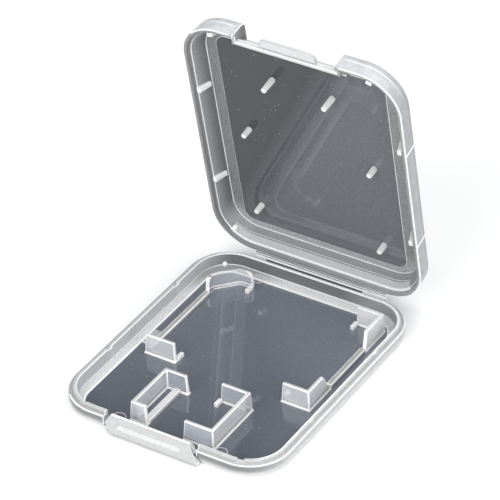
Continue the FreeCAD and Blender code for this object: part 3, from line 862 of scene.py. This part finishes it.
def build_scoop_wall():
    """The sloping wall, set back from the front of the case."""
    outline = [(SLOPE_LOW - SLOPE_WALL_LOW, RIM_HEIGHT),
               (SLOPE_LOW - SLOPE_WALL_FOOT, SLOPE_FOOT + SLOPE_FOOT_RISE),
               (SCOOP_TOP - SLOPE_WALL_TOP, ROOF_TOP), (SCOOP_TOP, ROOF_TOP), (SCOOP_TOP, LID_PANE_FACE),
               (SLOPE_HIGH, LID_PANE_FACE), (SLOPE_LOW, SLOPE_FOOT), (SLOPE_LOW, RIM_HEIGHT)]
    outlines = [lid_section(outline, SCOOP_LEFT), lid_section(outline, SCOOP_RIGHT)]
    solid = loft(outlines, [lid_outside, lid_outside], [scoop_face])
    soften(make_piece("scoop_wall", *solid, "lid", "frame", ["lid_scoop"]))


build_scoop_block("left", SCOOP_LEFT, 1)
build_scoop_block("right", SCOOP_RIGHT, -1)
build_scoop_wall()


# Card brackets

FOOT_WIDTH = 0.85
TOP_WIDTH = 0.65
FOOT_LINE = 0.36
FOOT_FLARE = 0.22
END_LEAN = 0.25
BRACKET_SOFT = 0.2
ROUNDED_SOFT = 0.12
ROUNDED_ANGLE = 60.0
EASE_STEPS = 6


def rounded_path(path, ease):
    """A path whose inner corners are eased with short curves."""
    eased = [path[0]]
    for index in range(1, len(path) - 1):
        here = Vector(path[index])
        before = here + (Vector(path[index - 1]) - here).normalized() * ease
        after = here + (Vector(path[index + 1]) - here).normalized() * ease
        for step in range(EASE_STEPS + 1):
            share = step / EASE_STEPS
            rest = 1 - share
            eased.append(tuple(before * rest ** 2 + here * 2 * share * rest + after * share ** 2))
    eased.append(path[-1])
    return eased


def wall_outline(path, side, width, start_run, finish_run):
    """A wall's outline along one side of a path, with its ends moved in."""
    near = [Vector(point) for point in path]
    first = (near[1] - near[0]).normalized()
    final = (near[-1] - near[-2]).normalized()
    near[0] = near[0] + first * start_run
    near[-1] = near[-1] - final * finish_run
    far = []
    for index, here in enumerate(near):
        into = (here - near[index - 1]).normalized() if index else first
        away = (near[index + 1] - here).normalized() if index < len(near) - 1 else final
        far.append(here + mitre(into, away, side * width))
    return [tuple(point) for point in near + far[::-1]]


def wall_width(share):
    """The width of a bracket's wall at a share of its height."""
    return FOOT_WIDTH + (TOP_WIDTH - FOOT_WIDTH) * share


def with_highlighted_ends(look, path):
    """The looks round a wall's outline: its two end faces carry a painted highlight."""
    along = [look] * (len(path) - 1)
    return [*along, bright, *along, bright]


def bracket(name, path, side, look, start_run=END_LEAN, finish_run=END_LEAN):
    """A bracket wall that leans on its far side, with painted highlights on its ends and on its flared
    foot.
    """
    tall = size_of(name)[1].z - PANE_TOP
    outlines = []
    for share, flare in ((0.0, FOOT_FLARE), (FOOT_LINE / tall, 0.0), (1.0, 0.0)):
        outline = wall_outline(path, side, wall_width(share), start_run * share, finish_run * share)
        flared = inset(outline, -side * flare)
        outlines.append([(x, y, PANE_TOP + tall * share) for x, y in flared])
    solid = loft(outlines, [look, look], [with_highlighted_ends(band, path) for band in (bright, look)])
    soften(make_piece(name + "_wall", *solid, "tray", "bracket", [name]), BRACKET_SOFT)


def curved_in(radius, below):
    """How far a rounding of this radius has come in, this far below its top."""
    if below >= radius:
        return 0.0
    return radius - math.sqrt(radius ** 2 - (radius - below) ** 2)


def rounding_depths(radius):
    """Depths below the top of a rounding, from its foot to its top."""
    turns = [math.radians(90.0 * step / ARC_STEPS) for step in range(ARC_STEPS + 1)]
    return [radius * (1 - math.sin(turn)) for turn in turns]


def rounded_bracket(name, path, end_radius, top_radius, look, top_look):
    """A bracket wall with a rounded top, whose two ends rise in a quarter circle."""
    tall = size_of(name)[1].z - PANE_TOP
    depths = [tall, tall - FOOT_LINE]
    depths += [below for below in rounding_depths(end_radius) if below > top_radius]
    depths += rounding_depths(top_radius)
    outlines = []
    for below in depths:
        run = curved_in(end_radius, below)
        outline = wall_outline(path, 1, wall_width(1.0 - below / tall), run, run)
        trimmed = inset(outline, curved_in(top_radius, below))
        outlines.append([(x, y, PANE_TOP + tall - below) for x, y in trimmed])
    # The foot band carries a painted highlight
    bands = [bright] + [top_look if below <= top_radius else look for below in depths[1:-1]]
    solid = loft(outlines, [look, top_look], [with_highlighted_ends(band, path) for band in bands])
    piece = make_piece(name + "_wall", *solid, "tray", "bracket", [name])
    soften(piece, ROUNDED_SOFT, ROUNDED_ANGLE)


def card_faces(name):
    """Where the walls of a bracket meet its card: left, right, front and rear."""
    low, high = size_of(name)
    return low.x + FOOT_WIDTH, high.x - FOOT_WIDTH, low.y + FOOT_WIDTH, high.y - FOOT_WIDTH


# The cut corner of the larger card, and the roundings of the bracket that fits it
CUT_X = 3.35
CUT_Y = 3.6
CUT_EASE = 0.35
CUT_END_ROUND = 1.2
CUT_TOP_ROUND = 0.25
# How far the tall ends of the right-hand brackets lean
CORNER_END_LEAN = 0.85
STOP_END_LEAN = 2.25
# How far the arms of the smaller card's brackets reach
CLIP_LEFT_REACH = 2.64
CLIP_RIGHT_REACH = 5.3


def build_larger_bay():
    """Four brackets, of which the back left one goes round the card's cut corner."""
    low, high = size_of("card_corner_left")
    left, _, _, rear = card_faces("card_corner_left")
    path = [(left, low.y), (left, rear - CUT_Y), (left + CUT_X, rear), (high.x, rear)]
    rounded_bracket("card_corner_left", rounded_path(path, CUT_EASE), CUT_END_ROUND, CUT_TOP_ROUND,
                    thin, frost)
    low = size_of("card_corner_right")[0]
    _, right, _, rear = card_faces("card_corner_right")
    path = [(low.x, rear), (right, rear), (right, low.y)]
    bracket("card_corner_right", path, 1, mist, finish_run=CORNER_END_LEAN)
    low, high = size_of("left_stop")
    bracket("left_stop", [(low.x, high.y), (high.x, high.y)], -1, frost)
    low, high = size_of("right_stop")
    _, right, front, _ = card_faces("right_stop")
    path = [(low.x, front), (right, front), (right, high.y)]
    bracket("right_stop", path, -1, frost, finish_run=STOP_END_LEAN)


def build_smaller_bay():
    """Two brackets, the left one with a short arm in front and the right one with a long arm behind."""
    high = size_of("micro_clip_left")[1]
    left, _, front, rear = card_faces("micro_clip_left")
    path = [(left + CLIP_LEFT_REACH, front), (left, front), (left, rear), (high.x, rear)]
    bracket("micro_clip_left", path, 1, clear)
    low = size_of("micro_clip_right")[0]
    _, right, front, rear = card_faces("micro_clip_right")
    path = [(low.x, front), (right, front), (right, rear), (right - CLIP_RIGHT_REACH, rear)]
    bracket("micro_clip_right", path, -1, glassy)


build_larger_bay()
build_smaller_bay()


# Left rail, and the low pad between it and the border

RAIL_LEDGE = 0.25
PAD_FRONT = 1.4
PAD_REAR = 5.65
PAD_SHORT = 0.4


def build_left_rail():
    """A bar along the card's left edge and a pad beside it."""
    low, high = size_of("left_rail")
    card_edge = high.x - RAIL_LEDGE
    bar = block((card_edge - FOOT_WIDTH, low.y, PANE_TOP), high, rail_top, rail_top)
    soften(make_piece("left_rail_bar", *bar, "tray", "bracket", ["left_rail"]), BRACKET_SOFT)
    pad_low = (low.x, low.y + PAD_FRONT, PANE_TOP)
    pad_high = (card_edge - PAD_SHORT, low.y + PAD_REAR, BORDER_TOP)
    pad = block(pad_low, pad_high, rail_top, rail_top)
    soften(make_piece("left_rail_pad", *pad, "tray", "bracket"), LOW_SOFT)


build_left_rail()


# Hinge: a band from the tray's rear edge over the axis to the lid, solid at its two webs

BAND_LAP = 0.1
BAND_DROP = 0.2
CREASE_BEFORE = 0.12
CREASE_RISE = 0.05
BAND_SHARES = (0.18, 0.36, 0.5, 0.66, 1.0)
BAND_DEPTH = 0.18


def build_hinge_band():
    """The band as a strip of two layers, with painted highlights along it and a painted shadow, a dark
    sheet, in the slot between the webs.
    """
    crest = opened((0.0, HALF_Y, CREST))
    profile = [(HALF_Y - BAND_LAP, LEDGE_TOP - BAND_DROP), (AXIS_Y - CREASE_BEFORE, AXIS_Z + CREASE_RISE)]
    for share in BAND_SHARES:
        profile.append((AXIS_Y + (crest[1] - AXIS_Y) * share, AXIS_Z + (crest[2] - AXIS_Z) * share))
    slot_looks = [painted_slot_shadow, bright, bright, painted_slot_shadow, bright, lid_crest]
    web_looks = [web, web, bright, painted_slot_shadow, bright, lid_crest]
    span_looks = [web_looks, slot_looks, web_looks]
    webs = ["hinge_web_left", "hinge_web_right"]
    places = [corner.x for name in webs for corner in size_of(name)]
    points = []
    for x in places:
        for y, z in profile:
            points.append((x, y, z))
            points.append((x, y + BAND_DEPTH, z - BAND_DEPTH))
    faces = []
    looks = []
    row = 2 * len(profile)
    for span, top_looks in enumerate(span_looks):
        for stretch, top_look in enumerate(top_looks):
            for layer, look in ((0, top_look), (1, web)):
                start = span * row + 2 * stretch + layer
                faces.append((start, start + 2, start + row + 2, start + row))
                looks.append(look)
        for edge in (0, row - 2):
            start = span * row + edge
            faces.append((start, start + 1, start + row + 1, start + row))
            looks.append(web)
    for end in (0, len(span_looks) * row):
        for stretch in range(len(profile) - 1):
            start = end + 2 * stretch
            faces.append((start, start + 1, start + 3, start + 2))
            looks.append(web)
    band = make_piece("hinge_band", points, faces, looks, None, "web", webs)
    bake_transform(band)


build_hinge_band()


# Flexure of the thumb lip

FLEXURE_FROM_LEFT = 0.4
FLEXURE_FROM_RIGHT = 0.5
FLEXURE_OUT = 0.3
FLEXURE_IN = 0.1
FLEXURE_LOW = 0.15
FLEXURE_HIGH = 0.6


def build_lip_flexure():
    """The strip that the thumb lip bends on."""
    lip_low = size_of("thumb_lip")[0]
    low = (lip_low.x + FLEXURE_FROM_LEFT, LIP_CUT_FACE - FLEXURE_OUT, FLEXURE_LOW)
    high = (LIP_CUT_RIGHT - FLEXURE_FROM_RIGHT, LIP_CUT_FACE + FLEXURE_IN, FLEXURE_HIGH)
    flexure = block(low, high, tray_outside, tray_outside)
    strip = make_piece("lip_flexure", *flexure, None, "frame")
    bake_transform(strip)


build_lip_flexure()


# Marks left by the mould's pins on the base

MARK_RADIUS = 1.2
MARK_WIDTH = 0.06
MARK_RISE = 0.05
MARK_STEPS = 40
PIN_MARKS = {"front_left": (-9.9, -23.3, PANE_TOP), "front_right": (10.4, -22.7, PANE_TOP),
             "rear_left": (-9.9, 22.6, BORDER_TOP), "rear_right": (13.0, 22.0, PANE_TOP)}


def ring_mark(name, x, y, height):
    """A thin raised ring on the floor, in a soft painted highlight."""
    section = ((MARK_RADIUS - MARK_WIDTH, 0.0), (MARK_RADIUS, MARK_RISE), (MARK_RADIUS + MARK_WIDTH, 0.0))
    points = []
    faces = []
    for step in range(MARK_STEPS):
        turn = 2 * math.pi * step / MARK_STEPS
        for away, rise in section:
            points.append((x + away * math.cos(turn), y + away * math.sin(turn), height + rise))
        start = 3 * step
        after = 3 * ((step + 1) % MARK_STEPS)
        for side in (0, 1):
            faces.append((start + side, start + side + 1, after + side + 1, after + side))
    make_piece(name, points, faces, [painted_soft_highlight] * len(faces), "tray", "frame")


for place, (mark_x, mark_y, mark_height) in PIN_MARKS.items():
    ring_mark("pin_mark_" + place, mark_x, mark_y, mark_height)


# Pieces that keep their CAD shape

WELD_DISTANCE = 0.002
FLAT_ANGLE = 0.5
# The look of each piece, the width of its softened edges and their look, if not the painted highlight.
# The key is a word in the piece's name, and the first that fits counts
FINISHES = {
    "base_window": (base_pane, 0.0),
    "lid_window": (lid_pane, 0.1),
    "thumb_lip": (lip_face, 0.07, lip_edge),
    "lid_tab": (tab_face, 0.15, lid_outside),
    "right_rail": (rail_top, BRACKET_SOFT),
    "post": (pale, BEVEL_WIDTH),
    "pip": (bright, 0.0),
    "lug": (solid_block, BEVEL_WIDTH),
    "rest_micro_left": (mist, 0.14),
    "rest": (solid_block, 0.12)}


def dress(name, face, width, edge=bright):
    """Gives a CAD node its material and softens its edges with a rounded line."""
    node = nodes[name]
    mesh = node.data
    mesh.materials.clear()
    mesh.materials.append(face)
    for polygon in mesh.polygons:
        polygon.material_index = 0
    if width:
        weld = node.modifiers.new("weld", "WELD")
        weld.merge_threshold = WELD_DISTANCE * MM
        flat = node.modifiers.new("flat", "DECIMATE")
        flat.decimate_type = "DISSOLVE"
        flat.angle_limit = math.radians(FLAT_ANGLE)
        soften(node, width, edge=edge)


for node_name in nodes:
    finish = next((FINISHES[key] for key in FINISHES if key in node_name), None)
    if finish is not None:
        dress(node_name, *finish)


# Looks of the thumb lip: its sunk panel painted lighter; the walls of that, painted as highlight where
# they face uphill and as shade where they face down; painted highlights on its top edge and on its right
# end, over the gap's shade

LIP_FALL = 1.85
LIP_RUN = 2.1
# How far below the sloping face the sunk panel and its walls lie, from and to
PANEL_SUNK = (0.1, 0.3)
PANEL_WALL_SUNK = (0.02, 0.2)
LIP_TOP_BAND = 0.05
# Limits on a face's direction: along the slope, across it, uphill, and squarely up or right
FACES_SLOPE = 0.98
FACES_ACROSS = 0.5
FACES_UPHILL = 0.2
FACES_SQUARE = 0.9


def colour_thumb_lip():
    """Gives the faces of the thumb lip their looks."""
    mesh = nodes["thumb_lip"].data
    slope = Vector((0.0, -LIP_FALL, LIP_RUN)).normalized()
    uphill = Vector((0.0, LIP_RUN, LIP_FALL)).normalized()
    highest = max(slope.dot(vertex.co) for vertex in mesh.vertices)
    top = max(vertex.co.z for vertex in mesh.vertices)
    # Slots of the lighter panel, of the painted highlight and of the painted shade
    panel = len(mesh.materials)
    light = panel + 1
    dark = panel + 2
    for look in (lip_groove, bright, lip_painted_shade):
        mesh.materials.append(look)
    for polygon in mesh.polygons:
        sunk = (highest - slope.dot(polygon.center)) / MM
        turned = slope.dot(polygon.normal)
        on_top = polygon.normal.z > FACES_SQUARE and polygon.center.z > top - LIP_TOP_BAND * MM
        if turned > FACES_SLOPE and PANEL_SUNK[0] < sunk < PANEL_SUNK[1]:
            polygon.material_index = panel
        elif abs(turned) < FACES_ACROSS and PANEL_WALL_SUNK[0] < sunk < PANEL_WALL_SUNK[1]:
            polygon.material_index = light if uphill.dot(polygon.normal) > FACES_UPHILL else dark
        elif on_top or polygon.normal.x > FACES_SQUARE:
            polygon.material_index = light


colour_thumb_lip()


# Stage: floor, sky, lights and camera (metres, and watts for the lights)

FLOOR_SIZE = 4.0
FLOOR_DROP = 0.00002
SKY_COLOUR = (0.97, 0.985, 1.0, 1.0)
SKY_STRENGTH = 0.46
# The sky is dim where the base pane mirrors it, towards the rear left, so that the pane shows dark
MIRRORED = (-0.443, 0.683, 0.581)
MIRRORED_START = 0.35
MIRRORED_END = 0.85
MIRRORED_STRENGTH = 0.16
LIGHT_TARGET = (0.0, 0.0, 0.02)
# Each light's place, size and power
SOFTBOXES = {"key": ((0.0, 0.1, 0.8), 0.9, 3.9),
             "front_fill": ((-0.1, -0.8, 0.5), 0.7, 4.0),
             "right_fill": ((0.75, -0.35, 0.4), 0.7, 3.0),
             "rear_fill": ((0.1, 0.9, 0.55), 0.8, 1.6)}


def build_floor():
    """A plain pale floor."""
    bpy.ops.mesh.primitive_plane_add(size=FLOOR_SIZE, location=(0, 0, -FLOOR_DROP))
    floor = bpy.context.object
    floor.name = "floor"
    floor.data.materials.append(frosted("ground", grey(0.99, 0.0), 0.005, 3.0, roughness=0.9))


def build_sky():
    """A soft even sky with its dim part."""
    world = bpy.data.worlds.new("studio")
    bpy.context.scene.world = world
    world.use_nodes = True
    tree = world.node_tree
    tree.nodes.clear()
    out = tree.nodes.new("ShaderNodeOutputWorld")
    ambient = add_node(tree, "ShaderNodeBackground", Color=SKY_COLOUR)
    place = tree.nodes.new("ShaderNodeTexCoord")
    share = share_along(tree, place.outputs["Generated"], MIRRORED, MIRRORED_START, MIRRORED_END)
    dimmed = add_node(tree, "ShaderNodeMapRange", To_Min=SKY_STRENGTH, To_Max=MIRRORED_STRENGTH)
    tree.links.new(share, dimmed.inputs["Value"])
    tree.links.new(dimmed.outputs["Result"], ambient.inputs["Strength"])
    tree.links.new(ambient.outputs["Background"], out.inputs["Surface"])


def softbox(name, place, size, power):
    """A round soft light that looks at the case."""
    light = bpy.data.lights.new(name, "AREA")
    light.shape = "DISK"
    light.size = size
    light.energy = power
    lamp = bpy.data.objects.new(name, light)
    bpy.context.scene.collection.objects.link(lamp)
    lamp.location = place
    aim = Vector(LIGHT_TARGET) - Vector(place)
    lamp.rotation_mode = "QUATERNION"
    lamp.rotation_quaternion = aim.to_track_quat("-Z", "Y")


def build_camera():
    """The camera where the photograph was taken from, moved sideways to frame it alike."""
    turn = math.radians(AZIMUTH)
    rise = math.radians(ELEVATION)
    tilt = math.radians(ROLL)
    back = Vector((math.sin(turn) * math.cos(rise), -math.cos(turn) * math.cos(rise), math.sin(rise)))
    level = Vector((math.cos(turn), math.sin(turn), 0.0))
    plumb = back.cross(level)
    across = math.cos(tilt) * level + math.sin(tilt) * plumb
    upward = -math.sin(tilt) * level + math.cos(tilt) * plumb
    aside = (CENTRE_X - FRAME_PIXELS / 2) / FOCAL_PIXELS * DISTANCE
    above = -(CENTRE_Y - FRAME_PIXELS / 2) / FOCAL_PIXELS * DISTANCE
    spot = back * DISTANCE - across * aside - upward * above + Vector((0, 0, TARGET_HEIGHT))
    lens = bpy.data.cameras.new("camera")
    lens.sensor_width = SENSOR
    lens.lens = FOCAL_PIXELS / FRAME_PIXELS * SENSOR
    lens.clip_start = CLIP_START * MM
    lens.clip_end = CLIP_END * MM
    camera = bpy.data.objects.new("camera", lens)
    bpy.context.scene.collection.objects.link(camera)
    turned = Matrix((across, upward, back)).transposed().to_4x4()
    camera.matrix_world = Matrix.Translation([length * MM for length in spot]) @ turned
    bpy.context.scene.camera = camera


build_floor()
build_sky()
for light_name, settings in SOFTBOXES.items():
    softbox(light_name, *settings)
build_camera()
bpy.context.scene.view_settings.view_transform = "Standard"
